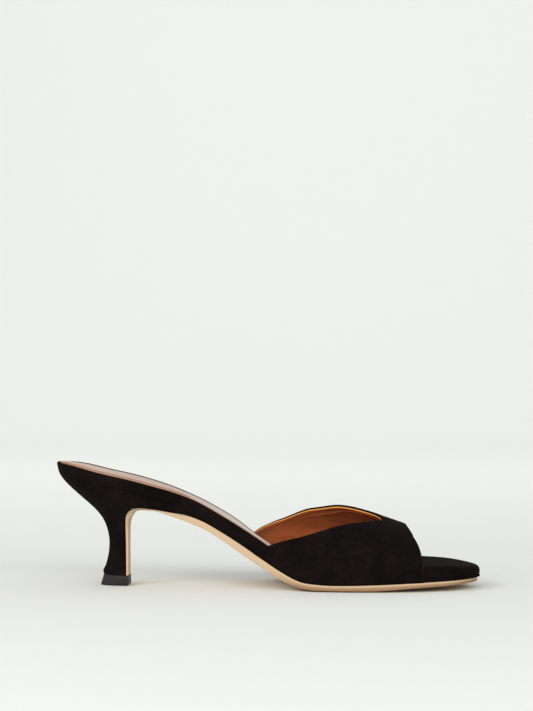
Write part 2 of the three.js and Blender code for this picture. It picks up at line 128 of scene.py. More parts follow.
BREAST = columns("x z out_x out_z half", [
    (BREAST_X, 42.7, BREAST_X, 41.9, 22.0),
    (-64, 43.3, -64, 42.2, 20.9), (-68, 43.4, -67.3, 42.1, 18.4), (-71.2, 42.8, -70.0, 41.4, 15.8),
    (-73.8, 41.5, -72.1, 40.0, 13.2), (-75.6, 39.4, -73.7, 38.0, 10.8), (-76.5, 36.6, -74.7, 35.8, 8.6),
    (-76.7, 32.6, -75.2, 32.6, 6.6), (-76.6, 25.0, -75.2, 25.0, 5.8), (-76.5, 17.0, -75.2, 17.0, 5.9),
    (-76.4, 10.5, -75.2, 10.5, 6.4), (-76.4, LIFT_HEIGHT + GAP, -75.2, LIFT_HEIGHT + GAP, 6.8),
])
HEEL_RINGS = columns("front_x front_z back_x back_z half seat", [
    (-76.3, LIFT_HEIGHT + 0.05, -89.3, LIFT_HEIGHT + 0.55, 7.4, 0), (-76.3, 8.2, -89.6, 8.2, 7.3, 0),
    (-76.3, 11.5, -88.1, 11.5, 6.7, 0), (-76.4, 17.5, -86.7, 17.5, 6.1, 0),
    (-76.6, 24.5, -86.3, 24.5, 6.0, 0), (-77.0, 31.0, -87.5, 31.0, 6.8, 0),
    (-76.9, 36.0, -89.7, 36.2, 8.9, 0), (-76.0, 39.6, -92.9, 40.5, 11.6, 0),
    (-74.0, 41.9, -97.1, 44.6, 14.2, 0.1), (-71.4, 43.1, -101.4, 48.4, 16.8, 0.3),
    (-68.0, 43.55, -105.6, 52.2, 19.2, 0.55), (-62.0, 43.3, -109.5, 56.0, 21.2, 0.85),
    (-52.0, 41.35, -112.0, 58.9, 22.4, 1), (WEDGE_FRONT_X, 60, -113.1, 60, 23.6, 1),
])
LIFT_RINGS = columns("z back_x half eased", [
    (0, -90.4, 7.2, 0.3), (0.12, -90.65, 7.45, 0.1), (0.5, -90.9, 7.6, 0), (2.6, -90.2, 7.55, 0),
    (LIFT_HEIGHT - 0.25, -89.4, 7.5, 0), (LIFT_HEIGHT - 0.03, -89.2, 7.35, 0.15),
])
LAST = columns("x crown middle square", [
    (-20, 55, 2.5, 2.1), (0, 51.6, 2.5, 2.1), (20, 48.1, 3, 2.1), (40, 44.0, 3.5, 2.1),
    (60, 37.2, 3.5, 2.1), (75, 32.0, 3, 2.2), (90, 27.5, 2, 2.3),
])
TOPLINE_INNER = columns("across x", [
    (-FOOT_PLACE, -6), (0, 2.2), (0.1, 14.3), (0.2, 33.8), (0.3, 52.2), (NOTCH, 63.4),
])
TOPLINE_OUTER = columns("across x", [
    (NOTCH, 63.4), (0.48, 61.4), (0.56, 55.6), (0.65, 38.3), (0.7, 30.2), (0.8, 9.0),
    (0.9, -1.7), (1, -8.2), (1 + FOOT_PLACE, -14),
])
FRONT_EDGE = columns("across x", [
    (-FOOT_PLACE, 85.2), (0, 84.9), (0.2, 82.3), (0.35, 78.2), (0.5, 75.4), (0.65, 76.6),
    (0.8, 79.9), (1, 82.6), (1 + FOOT_PLACE, 83.0),
])


# ---- curves through the tables
def lerp(a, b, t):
    """The straight mix a + (b - a) t."""
    return a + (b - a) * t


def rise(at, start, run):
    """Smooth step 3t^2 - 2t^3, where t goes from 0 at the start to 1 at the end of the run."""
    t = np.clip((at - start) / run, 0, 1)
    return t * t * (3 - 2 * t)


def bell(at, centre, width):
    """exp(-d^2), where d is the distance from the centre in widths."""
    return np.exp(-((at - centre) / width) ** 2)


def quarter(count):
    """Angles of a quarter turn, from 0 to a right angle."""
    return np.linspace(0, math.pi / 2, count)


def full_turn(count):
    """Angles of a full turn, without its last, which is its first again."""
    return np.linspace(0, 2 * math.pi, count, endpoint=False)


def hermite(knots, values, at):
    """Cubic through the knots whose slope at a knot is the mean of the neighbouring chords,
    each weighted by the other's length. values may hold one number or a whole row a knot."""
    at = np.clip(np.asarray(at, float), knots[0], knots[-1])
    values = values.reshape(len(knots), -1)
    step = np.diff(knots)[:, None]
    chord = np.diff(values, axis=0) / step
    slope = np.vstack([chord[:1], (chord[:-1] * step[1:] + chord[1:] * step[:-1])
                       / (step[1:] + step[:-1]), chord[-1:]])
    i = np.clip(np.searchsorted(knots, at.ravel(), side="right") - 1, 0, len(knots) - 2)
    span = step[i]
    t = (at.ravel()[:, None] - knots[i][:, None]) / span
    curve = ((2 * t ** 3 - 3 * t ** 2 + 1) * values[i] + (t ** 3 - 2 * t ** 2 + t) * span * slope[i]
             + (3 * t ** 2 - 2 * t ** 3) * values[i + 1] + (t ** 3 - t ** 2) * span * slope[i + 1])
    return curve.reshape(at.shape + (-1,)) if values.shape[1] > 1 else curve.reshape(at.shape)


def station(u):
    """Where angle u along the last lies: x = back + length (1 - cos u) / 2."""
    return BACK_X + (TOE_X - BACK_X) * (1 - np.cos(u)) / 2


def angle(x):
    """The angle of a station, the inverse of station()."""
    return np.arccos(np.clip(1 - 2 * (x - BACK_X) / (TOE_X - BACK_X), -1, 1))


def edge_y(x, side):
    """The plan outline on one side: a cubic over the station's angle, so that its ends are round."""
    return hermite(angle(OUTLINE["x"]), OUTLINE[side], angle(x))


def height(x, column):
    """The height of one of the shoe's faces over the middle line."""
    return hermite(HEIGHTS["x"], HEIGHTS[column], x)


def lean(x, y):
    """Extra height from the waist's twist and from the outer side's earlier fall to the tread."""
    waist = rise(x, -66, 30) * (1 - rise(x, -4, 26))
    drop = rise(x, -24, 28) * (1 - rise(x, 6, 18)) * rise(y, -8, 36)
    return -TWIST * waist * y - OUTER_DROP * drop


def face(x, y, column):
    """A face's height anywhere in plan: the middle line's height and the lean."""
    return height(x, column) + lean(x, y)


def outline_point(turn):
    """The plan outline once round: turn 0 at the back, pi at the toe tip, then the outer side."""
    turn = np.mod(turn, 2 * math.pi)
    u = np.minimum(turn, 2 * math.pi - turn)
    x = station(u)
    y = np.where(turn <= math.pi, edge_y(x, "inner"), edge_y(x, "outer"))
    return np.stack([x, y], -1)


def unit(vectors):
    """Each vector divided by its length."""
    return vectors / np.linalg.norm(vectors, axis=-1, keepdims=True)


def outline_rim(turn):
    """Points of the outline and their outward directions in plan, by a central difference."""
    step = 0.01
    along = unit(outline_point(turn + step) - outline_point(turn - step))
    return outline_point(turn), np.stack([along[:, 1], -along[:, 0]], -1)


def sole_ledge(x):
    """How far the outsole stands past the footbed at a station."""
    vamp = GAP + WALL + SOLE_LEDGE
    front = lerp(vamp, TOE_LEDGE, rise(x, 78, 16)) + (TIP_LEDGE - TOE_LEDGE) * rise(x, 98, 18)
    return np.where(x < 0, lerp(WAIST_LEDGE, vamp, rise(x, -24, 24)), front)


def last_point(x, across, out=0.0):
    """A point over the foot. Across runs from 0 at the footbed's inner top edge over the crown
    to 1 at its outer top edge, as a superellipse; past either end the wall falls straight."""
    x, across = np.broadcast_arrays(np.asarray(x, float), np.asarray(across, float))
    low = height(x, "bed_top")
    foot = height(x, "sole_top") + GAP / 2
    left = edge_y(x, "inner") - GAP - out
    right = edge_y(x, "outer") + GAP + out
    middle = hermite(LAST["x"], LAST["middle"], x)
    crown = hermite(LAST["x"], LAST["crown"], x) + out
    power = 2 / hermite(LAST["x"], LAST["square"], x)
    turn = math.pi * np.clip(across, 0, 1)
    reach = np.sign(np.cos(turn)) * np.abs(np.cos(turn)) ** power
    y = np.where(reach > 0, lerp(middle, left, reach), lerp(middle, right, -reach))
    z = low + (crown - low) * np.abs(np.sin(turn)) ** power
    past = np.clip(np.maximum(-across, across - 1) / FOOT_PLACE, 0, 1)
    z = np.where(past > 0, lerp(low, foot, past), z)
    return np.stack([x, y, z + lean(x, y)], -1)


def topline_x(across):
    """Where the collar's edge lies: one cubic on each side of the notch."""
    inner = hermite(TOPLINE_INNER["across"], TOPLINE_INNER["x"], across)
    outer = hermite(TOPLINE_OUTER["across"], TOPLINE_OUTER["x"], across)
    return np.where(across < NOTCH, inner, outer)


def front_x(across):
    """Where the vamp's front edge lies."""
    return hermite(FRONT_EDGE["across"], FRONT_EDGE["x"], across)


# ---- meshes from arrays
LIFT_LOW, LIFT_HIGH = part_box("top_piece")
ORIGIN = np.array([LIFT_HIGH.x / MM - LIFT_FRONT_X, (LIFT_LOW.y + LIFT_HIGH.y) / 2 / MM, 0.0])


def place(points):
    """Maker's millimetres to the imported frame's metres: shifted by the origin, then scaled."""
    return (points.reshape(-1, 3) + ORIGIN) * MM


def grid_faces(rows, count, closed_rows=False, closed_columns=False):
    """Quads between neighbouring rows and columns of a grid of points."""
    i = np.arange(rows if closed_rows else rows - 1)[:, None]
    k = np.arange(count if closed_columns else count - 1)[None, :]
    after, beside = (i + 1) % rows, (k + 1) % count
    quads = np.stack([i * count + k, i * count + beside, after * count + beside, after * count + k], -1)
    return quads.reshape(-1, 4)


def add_object(name, data, spot=(0, 0, 0), target=None):
    """A new object in the scene: at the origin, or at a spot and turned to face a target."""
    made = bpy.data.objects.new(name, data)
    if target:
        made.location = spot
        made.rotation_euler = (Vector(target) - Vector(spot)).to_track_quat("-Z", "Y").to_euler()
    bpy.context.scene.collection.objects.link(made)
    return made


def solid(name, points, faces, finish, node, flat_above=None, masks=None):
    """A closed mesh from arrays: doubles merged, normals turned outward, shaded smooth. It rides on the
    root, stands for its node and takes the finish it is given."""
    mesh = bpy.data.meshes.new(name)
    corners = faces.ravel().astype(np.int32)
    mesh.vertices.add(len(points.reshape(-1, 3)))
    mesh.vertices.foreach_set("co", place(points).astype(np.float32).ravel())
    mesh.loops.add(len(corners))
    mesh.loops.foreach_set("vertex_index", corners)
    mesh.polygons.add(len(faces))
    mesh.polygons.foreach_set("loop_start", np.arange(0, len(corners), faces.shape[1], dtype=np.int32))
    mesh.update(calc_edges=True)
    for mask, values in (masks or {}).items():
        layer = mesh.attributes.new(mask, "FLOAT", "POINT")
        layer.data.foreach_set("value", np.asarray(values, np.float32).ravel())
    shape = bmesh.new()
    shape.from_mesh(mesh)
    bmesh.ops.remove_doubles(shape, verts=shape.verts, dist=2e-6)
    bmesh.ops.dissolve_degenerate(shape, dist=1e-7, edges=shape.edges)
    bmesh.ops.recalc_face_normals(shape, faces=shape.faces)
    shape.to_mesh(mesh)
    shape.free()
    mesh.shade_smooth()
    if flat_above is not None:
        mesh.set_sharp_from_angle(angle=math.radians(flat_above))
    mesh.materials.append(finish)
    piece = add_object(name, mesh)
    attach(piece, "root")
    if node:
        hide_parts(node)


def edge_profile(low_round, high_round, wall):
    """The section of a slab's edge at each rim point, from its underside up to its top: how far
    in from the rim, the share of the way from under to top, and the lift from that height. The
    two roundings are quarter circles, each a radius or a column of them; wall holds shares."""
    turn = quarter(ROUND_POINTS)[None, :]
    wall = np.asarray(wall)[None, :]
    inset = np.hstack([low_round * (1 - np.sin(turn)), 0 * (low_round + wall),
                       high_round * (1 - np.cos(turn))])
    share = np.hstack([0 * (low_round + turn), wall + 0 * low_round, 0 * (high_round + turn) + 1])
    lift = np.hstack([low_round * (1 - np.cos(turn)), lerp(low_round, -high_round, wall),
                      -high_round * (1 - np.sin(turn))])
    return inset, share, lift


def slab_points(rim, away, spine, profile, under, top, shares):
    """A slab's grid, a row a rim point. Columns run from the spine along the underside to the
    rim, up the edge profile and back over the top to the spine; shares says where the inner
    columns lie, 0 at the rim and 1 at the spine. under and top take x, y and that share."""
    inset, share, lift = profile
    edge = rim[:, None, :] - away[:, None, :] * inset[..., None]
    inner_low = lerp(edge[:, :1], spine[:, None, :], shares[::-1][None, :, None])
    inner_high = lerp(edge[:, -1:], spine[:, None, :], shares[None, :, None])
    low_z = under(inner_low[..., 0], inner_low[..., 1], shares[::-1][None, :])
    high_z = top(inner_high[..., 0], inner_high[..., 1], shares[None, :])
    edge_under = under(edge[..., 0], edge[..., 1], 0.0)
    edge_top = top(edge[..., 0], edge[..., 1], 0.0)
    edge_z = lerp(edge_under, edge_top, share) + lift
    plan = np.concatenate([inner_low, edge, inner_high], 1)
    return np.dstack([plan, np.concatenate([low_z, edge_z, high_z], 1)])


# ---- shader maths
class Knob:
    """One output socket of a material, with the arithmetic that the finishes use."""

    def __init__(self, recipe, socket):
        self.recipe = recipe
        self.socket = socket

    def _math(self, operation, other):
        return self.recipe.node("ShaderNodeMath", {"operation": operation}, {0: self, 1: other})

    def __add__(self, other):
        return self._math("ADD", other)

    __radd__ = __add__

    def __mul__(self, other):
        return self._math("MULTIPLY", other)

    __rmul__ = __mul__

    def above(self, low, high):
        """0 below low, 1 above high and a smooth rise between."""
        return self.recipe.node("ShaderNodeMapRange", {"interpolation_type": "SMOOTHSTEP"},
                                {"Value": self, "From Min": low, "From Max": high})


class Recipe:
    """A material made by one Principled shader and the nodes that feed it."""

    def __init__(self, name, **constants):
        self.material = bpy.data.materials.new(name)
        self.material.use_nodes = True
        self.tree = self.material.node_tree
        self.tree.nodes.clear()
        output = self.tree.nodes.new("ShaderNodeOutputMaterial")
        self.shader = self.tree.nodes.new("ShaderNodeBsdfPrincipled")
        self.tree.links.new(self.shader.outputs[0], output.inputs["Surface"])
        for socket, value in constants.items():
            self.shader.inputs[socket.replace("_", " ")].default_value = value
        coordinates = self.tree.nodes.new("ShaderNodeTexCoord")
        self.where = Knob(self, coordinates.outputs["Object"])

    def node(self, kind, settings=None, inputs=None, output=0):
        """A node of any kind: its settings first, then its sockets' values or links."""
        made = self.tree.nodes.new(kind)
        for key, value in (settings or {}).items():
            setattr(made, key, value)
        for key, value in (inputs or {}).items():
            if isinstance(value, Knob):
                self.tree.links.new(value.socket, made.inputs[key])
            else:
                made.inputs[key].default_value = value
        return Knob(self, made.outputs[output])

    def stretched(self, scale, turn=(0, 0, 0)):
        """Object coordinates, turned and stretched for grain that runs one way."""
        return self.node("ShaderNodeMapping", None,
                         {"Vector": self.where, "Rotation": turn, "Scale": scale})

    def noise(self, scale, detail, rough, where=None, warp=0.0):
        """Cloudy noise from 0 to 1."""
        return self.node("ShaderNodeTexNoise", None, {
            "Vector": where or self.where, "Scale": scale, "Detail": detail, "Roughness": rough,
            "Distortion": warp})

    def cells(self, scale):
        """Pores: the distance to the nearest of many scattered points."""
        return self.node("ShaderNodeTexVoronoi", {"feature": "F1"},
                         {"Vector": self.where, "Scale": scale})

    def mask(self, name):
        """A value that the mesh holds for each of its points."""
        return self.node("ShaderNodeAttribute", {"attribute_name": name}, None, output="Fac")

    def colours(self, amount, first, second):
        """A colour between two, by an amount from 0 to 1."""
        return self.node("ShaderNodeMix", {"data_type": "RGBA"},
                         {0: amount, 6: first, 7: second}, output=2)

    def bump(self, relief, depth, strength):
        """Relief of a depth in metres, as a normal."""
        return self.node("ShaderNodeBump", None,
                         {"Height": relief, "Distance": depth, "Strength": strength})

    def feed(self, **signals):
        """Link signals to the shader's sockets, and give the finished material."""
        for socket, signal in signals.items():
            self.tree.links.new(signal.socket, self.shader.inputs[socket.replace("_", " ")])
        return self.material


def paint(colour, shade=1.0):
    """A colour property as the four numbers of a shader socket, darkened or lightened."""
    return tuple(min(1.0, channel * shade) for channel in colour[:3]) + (1.0,)


def suede_finish(colours):
    """Napped suede: brushed patches, short fibres and a faint dusty sheen."""
    r = Recipe("black_suede", Sheen_Weight=0.025, Sheen_Roughness=0.5,
               Sheen_Tint=(0.6, 0.5, 0.48, 1.0), Specular_IOR_Level=0.01)
    brushed = r.noise(55, 3, 0.55, warp=0.6)
    mottled = r.noise(420, 4, 0.6)
    fibres = r.noise(2600, 2, 0.7, where=r.stretched((1.0, 0.55, 0.8), (0.3, 0.2, 0.5)))
    tone = brushed.above(0.35, 0.7) * 0.42 + mottled.above(0.25, 0.8) * 0.34 + fibres * 0.3
    colour = r.colours(tone, paint(colours.suede, 0.45), paint(colours.suede, 2.0))
    relief = fibres * 0.6 + mottled * 0.4
    return r.feed(Base_Color=colour, Roughness=0.88 + fibres * 0.1,
                  Normal=r.bump(relief, 0.00025, 0.8))


def lining_finish(colours):
    """Tan lining leather: long pulled grain, fine pores, and a bright cut edge where masked, its own
    paler colour with a painted highlight on it.
    """
    r = Recipe("tan_lining", Specular_IOR_Level=0.3)
    pulled = r.noise(150, 5, 0.62, where=r.stretched((0.35, 1.0, 1.0), (0.0, 0.35, 0.2)), warp=1.1)
    clouds = r.noise(38, 2, 0.5)
    pores = r.cells(1700)
    tone = pulled.above(0.32, 0.66) * 0.6 + clouds.above(0.3, 0.7) * 0.2 + pores * 0.2
    leather = r.colours(tone, paint(colours.lining, 0.55), paint(colours.lining, 1.35))
    # The cut edge's colour is the edge's own paler tan with a painted highlight of light catching it.
    colour = r.colours(r.mask("cut_edge_highlight"), leather, paint(colours.cut_edge_highlight))
    relief = pulled * 0.7 + pores * 0.3
    return r.feed(Base_Color=colour, Roughness=0.45 + pores * 0.2,
                  Normal=r.bump(relief, 0.0003, 0.55))


def sock_finish(colours):
    """Smooth sock leather: fine grain, faint streaks along it, a paler front that is a painted sheen,
    and a turned edge painted darker as shade.
    """
    r = Recipe("sock_leather", Specular_IOR_Level=0.8, Coat_Weight=0.4, Coat_Roughness=0.35)
    grain = r.cells(1500)
    streaks = r.noise(95, 4, 0.6, where=r.stretched((0.12, 1.0, 0.3), (0.0, 0.3, 0.05)))
    fine = r.noise(900, 3, 0.6)
    tone = streaks.above(0.3, 0.7) * 0.55 + grain * 0.25 + fine * 0.2
    back = r.colours(tone, paint(colours.sock, 0.84), paint(colours.sock, 1.12))
    # Painted sheen: the sock's front is painted pale mauve, standing in for the backdrop's light
    # reflected at a grazing angle.
    leather = r.colours(r.mask("front"), back, paint(colours.sock_sheen))
    # Painted shade: the rolled edge is painted a darker, deeper tan than the top, which takes the
    # sheen.
    colour = r.colours(r.mask("shaded_edge"), leather, paint(colours.sock_edge_shade))
    return r.feed(Base_Color=colour, Roughness=0.36 + fine * 0.14,
                  Normal=r.bump(grain * 0.6 + fine * 0.4, 0.00018, 0.35))


def sole_finish(colours):
    """Natural sole leather: pale and even, fine fibres along it, a lower edge painted dark brown,
    partly burnishing and partly a painted shadow along the floor.
    """
    r = Recipe("natural_sole", Specular_IOR_Level=0.3)
    long_fibres = r.noise(420, 4, 0.6, where=r.stretched((0.25, 1.0, 1.6)))
    clouds = r.noise(30, 3, 0.5)
    pores = r.cells(1300)
    tone = clouds.above(0.3, 0.7) * 0.45 + long_fibres * 0.4 + pores * 0.15
    leather = r.colours(tone, paint(colours.sole, 0.88), paint(colours.sole, 1.07))
    # The lower edge's dark brown is part burnishing, part painted shadow where the sole meets the
    # floor.
    colour = r.colours(r.mask("burnish_and_shade"), leather, paint(colours.burnish_and_shade))
    return r.feed(Base_Color=colour, Roughness=0.55 + long_fibres * 0.16,
                  Normal=r.bump(long_fibres * 0.6 + pores * 0.4, 0.00016, 0.4))


def lift_finish(colours):
    """Moulded rubber lift: fine grit and a few rubbed clouds."""
    r = Recipe("lift_rubber", Specular_IOR_Level=0.25)
    grit = r.noise(2200, 2, 0.6)
    clouds = r.noise(160, 3, 0.5)
    tone = clouds.above(0.3, 0.75) * 0.6 + grit * 0.4
    colour = r.colours(tone, paint(colours.lift, 0.8), paint(colours.lift, 1.35))
    return r.feed(Base_Color=colour, Roughness=0.5 + grit * 0.16, Normal=r.bump(grit, 0.00012, 0.5))


def thread_finish(name, colour):
    """Twisted sewing thread: fine diagonal ply over an even dye."""
    r = Recipe(name, Specular_IOR_Level=0.05)
    ply = r.noise(3800, 1, 0.5, where=r.stretched((1.0, 0.4, 1.0), (0.0, 0.0, 0.7)))
    return r.feed(Base_Color=r.colours(ply, paint(colour, 0.75), paint(colour, 1.25)),
                  Roughness=0.7 + ply * 0.15, Normal=r.bump(ply, 0.0001, 0.5))


# ---- pieces
def spine_of(rim, low_x, high_x):
    """The point on the middle line that each rim point's rings run to, between two stations."""
    x = np.clip(rim[:, 0], low_x, high_x)
    return np.stack([x, (edge_y(x, "inner") + edge_y(x, "outer")) / 2], -1)


def sole_profile(sizes, thick):
    """The outsole's edge, its two roundings drawn in where the leather thins."""
    low, high = sizes.sole_low_round / MM, sizes.sole_high_round / MM
    fit = np.minimum(1, 0.45 * thick / max(low, high))
    return edge_profile(low * fit, high * fit, SOLE_WALL)


def outsole_points(sizes):
    """The sole's grid. Its rows go round the rim from the breast past the toe and back, with
    the flap's rows before and after them; columns as in slab_points()."""
    start = float(angle(BREAST_X))
    turns = np.linspace(start, 2 * math.pi - start, sizes.sole_rows)
    rim, away = outline_rim(turns)
    rim = rim + away * sole_ledge(station(np.minimum(turns, 2 * math.pi - turns)))[:, None]

    def under(x, y, share):
        crown = SOLE_CROWN * np.clip(1 - 2 * share, 0, 1) ** 2 * rise(x, BREAST_X, 30)
        return np.maximum(0, face(x, y, "sole_under")) + crown

    def top(x, y, share):
        return face(x, y, "sole_top")

    thick = top(rim[:, :1], rim[:, 1:], 0) - under(rim[:, :1], rim[:, 1:], 0)
    spine = spine_of(rim, BREAST_X, TOE_X - 16)
    front = slab_points(rim, away, spine, sole_profile(sizes, thick), under, top, SOLE_SHARES)
    return np.concatenate([flap_rows(sizes, -1)[::-1], front, flap_rows(sizes, 1)])


def flap_rows(sizes, side):
    """One half of the sole's turn round the breast and down the heel, from its top row on: the
    section spans the flap's thickness from its outer face to the face against the heel."""
    knots = np.arange(len(BREAST["x"]), dtype=float)
    at = np.linspace(0, knots[-1], sizes.flap_rows + 1)[1:]
    row = {key: hermite(knots, BREAST[key], at)[:, None] for key in BREAST}
    thick = np.hypot(row["x"] - row["out_x"], row["z"] - row["out_z"])
    inset, share, lift = sole_profile(sizes, thick)
    shares = SOLE_SHARES[None, :]
    across = np.hstack([lerp(row["half"] - inset[:, :1], 0, shares[:, ::-1]), row["half"] - inset,
                        lerp(row["half"] - inset[:, -1:], 0, shares)])
    through = np.hstack([0 * thick * shares, np.clip(share + lift / thick, 0, 1),
                         1 + 0 * thick * shares])
    middle = BREAST_MIDDLE * (1 - np.clip((BREAST_X - row["x"]) / BREAST_RUN, 0, 1))
    x = lerp(row["out_x"], row["x"], through)
    y = middle + side * across
    z = lerp(row["out_z"], row["z"], through)
    return np.dstack([x, y, z + lean(x, y)])


def make_outsole(sizes, colours):
    """Outsole: one skin of natural leather from the toe to the foot of the heel breast."""
    points = outsole_points(sizes)
    rows, count = points.shape[:2]
    k = np.arange(count - 1)
    last_row = (rows - 1) * count
    cap = np.stack([k, k + 1, last_row + k + 1, last_row + k], -1)
    # Painted shade on the sole's lower edge, darkest at its lower round and only forward of the waist;
    # part of it is burnishing.
    burnish_and_shade = np.zeros((rows, count))
    low = len(SOLE_SHARES)
    burnish_and_shade[:, low:low + len(SOLE_BURNISH_AND_SHADE)] = SOLE_BURNISH_AND_SHADE
    burnish_and_shade *= rise(points[:, :1, 0], -4, 26)
    solid("outsole_leather", points, np.concatenate([grid_faces(rows, count), cap]),
          sole_finish(colours), "outsole", flat_above=50, masks={"burnish_and_shade": burnish_and_shade})


def make_footbed(sizes, colours):
    """Footbed: a board wrapped in suede. Its rim is rounded, most at the toe, its back leans
    out, and the wrap ends in a thin lip that is turned out over the sole at the toe."""
    rim, away = outline_rim(full_turn(sizes.bed_rows))
    x_rim = rim[:, :1]
    toe = rise(x_rim, 78, 14)
    low_round = lerp(lerp(SEAT_ROUND, WAIST_ROUND, rise(x_rim, -74, 26)), LIP_ROUND, toe)
    high_round = lerp(sizes.bed_round / MM, sizes.toe_round / MM, toe)
    inset, share, lift = edge_profile(low_round, high_round, BED_WALL)
    up = share * (height(x_rim, "bed_top") - height(x_rim, "bed_under")) + lift
    groove = GROOVE_DEEP * bell(up, GROOVE_UP, GROOVE_WIDE) - LIP_OUT * (1 - rise(up, 0.7, 0.4))
    lean_in = BACK_LEAN * (1 - rise(x_rim, BACK_X, 30)) * (1 - share)
    puff = BED_PUFF * np.sin(math.pi * share) * (1 - toe)
    inset = inset + lean_in - puff + groove * rise(x_rim, 82, 3)

    def under(x, y, ring):
        return face(x, y, "bed_under")

    def top(x, y, ring):
        sunk = BED_SUNK * (1 - rise(x, SOCK_FRONT_X + 1, 4)) * rise(ring, 0.09, 0.05)
        return face(x, y, "bed_top") - sunk + rim_tilt(sizes, x, y)

    spine = spine_of(rim, BACK_X + 13, TOE_X - 13)
    points = slab_points(rim, away, spine, (inset, share, lift), under, top, BED_SHARES)
    faces = grid_faces(*points.shape[:2], closed_rows=True)
    solid("footbed_suede", points, faces, suede_finish(colours), "footbed")


def rim_tilt(sizes, x, y):
    """The footbed's rim stands a little proud of the sock outside and hardly under it inside."""
    along = (1 - rise(x, 40, 25)) * rise(x, BACK_X, 18)
    return sizes.rim_tilt / MM * np.clip(y / 14, -0.2, 1) * along


def make_sock(sizes, colours):
    """Sock: thin leather on the footbed, its edge rolled down, puffed by a pad under the heel."""
    end = float(angle(SOCK_FRONT_X))
    rim, away = outline_rim(np.linspace(-end, end, sizes.sock_rows))
    rim = rim - away * SOCK_RIM
    front = np.linspace(0, 1, SOCK_FRONT_POINTS + 2)[1:-1, None]
    rim = np.concatenate([rim, lerp(rim[-1], rim[0], front)])
    away = np.concatenate([away, np.tile([[1.0, 0.0]], (SOCK_FRONT_POINTS, 1))])
    spine = spine_of(rim, BACK_X + 14, SOCK_FRONT_X - 12)
    level = np.zeros((len(rim), 1))
    profile = edge_profile(SOCK_LOW_ROUND + level, sizes.sock_round / MM + level, [0.3, 0.6])

    def under(x, y, ring):
        return face(x, y, "bed_top") - SOCK_THICK

    def top(x, y, ring):
        pad = sizes.pad_rise / MM * (1 - rise(x, PAD_FRONT_X, PAD_STEP)) * (1 - rise(y, 0, 11))
        near = sizes.sock_rise / MM * (1 - rise(y, -12, 16)) - 0.12 * rise(y, 4, 10)
        pillow = 0.3 * rise(ring, 0, 0.3) - 0.55 * rise(ring, 0.3, 0.7)
        return face(x, y, "bed_top") + pad + near + pillow

    points = slab_points(rim, away, spine, profile, under, top, SOCK_SHARES)
    inner = len(SOCK_SHARES)
    # Painted shade on the sock's rolled edge: full down its side, fading over the top roll forward of
    # the pad and full behind it.
    rolled = np.zeros(points.shape[:2])
    rolled[:, inner:-inner] = 1
    rolled[:, -inner] = 0.5
    behind = 1 - rise(points[:, 2 - inner, :1], PAD_FRONT_X, PAD_STEP)
    rolled[:, -inner - ROUND_POINTS:1 - inner] *= lerp(SOCK_SHADE_FADE, 1, behind)
    # Painted sheen over the sock, growing forward of the heel.
    front_sheen = 0.7 * rise(points[..., 0], -55, 40)
    faces = grid_faces(*points.shape[:2], closed_rows=True)
    solid("sock_leather", points, faces, sock_finish(colours), "sock",
          masks={"shaded_edge": rolled, "front": front_sheen})


def vamp_places(count):
    """Places across the vamp: the straight foot of each wall, then even steps to the notch."""
    foot = np.linspace(-FOOT_PLACE, 0, 9)[:-1]
    inner = np.linspace(0, NOTCH, int(count * 0.45))
    outer = np.linspace(NOTCH, 1, int(count * 0.6))[1:]
    return np.concatenate([foot, inner, outer, 1 - foot[::-1]])


def edge_frame(across, edge_x, out, away):
    """Along a cut edge of the vamp: its points, the direction along it, the direction out of
    the wall, and the direction off the edge, away from the leather. All are unit vectors."""
    points = last_point(edge_x(across), across, out)
    step = 0.002
    along = unit(last_point(edge_x(across + step), across + step, out)
                 - last_point(edge_x(across - step), across - step, out))
    aside = last_point(edge_x(across) + 0.5, across, out) - points
    toward = last_point(edge_x(across), across, out + 1) - points
    outward = unit(np.cross(along, aside))
    outward *= np.sign(np.sum(outward * toward, -1, keepdims=True))
    off = np.cross(along, outward)
    off *= away * np.sign(np.sum(off * aside, -1, keepdims=True))
    return points, along, outward, off


def vamp_skin(sizes, inner_out, outer_out, relief, proud=0.0):
    """One leather of the vamp: an outer face, a rounded front edge, an inner face and a
    rounded topline, a loop a place across. relief lifts a face by a function of x, across and
    the share of the way to the front; proud carries the front edge past the other leather's."""
    across = vamp_places(sizes.vamp_columns)
    t = np.linspace(0, 1, sizes.vamp_rows)[None, :]
    x = lerp(topline_x(across)[:, None], front_x(across)[:, None] + proud, t)
    spread = across[:, None] + 0 * x
    lifted = relief(x, spread, t)
    outside = last_point(x, spread, outer_out + lifted)
    inside = last_point(x, spread, inner_out + lifted)
    turn = np.linspace(0, math.pi, EDGE_POINTS + 2)[1:-1]
    half = (outer_out - inner_out) / 2

    def rounded(edge_x, away, first, second):
        *_, off = edge_frame(across, edge_x, inner_out + half, away)
        mix = ((1 - np.cos(turn)) / 2)[None, :, None]
        return (lerp(first[:, None], second[:, None], mix)
                + off[:, None] * (0.6 * half * np.sin(turn))[None, :, None])

    front = rounded(front_x, 1, outside[:, -1], inside[:, -1])
    back = rounded(topline_x, -1, inside[:, 0], outside[:, 0])
    return np.concatenate([outside, front, inside[:, ::-1], back], 1)


def loft_faces(loops, count):
    """Faces of a tube of closed loops. A strip that joins point k to point count - 1 - k closes
    each end."""
    walls = grid_faces(loops, count, closed_columns=True)
    k = np.arange(count // 2 - 1)
    cap = np.stack([k, k + 1, count - 2 - k, count - 1 - k], -1)
    return np.concatenate([walls, cap, cap + (loops - 1) * count])


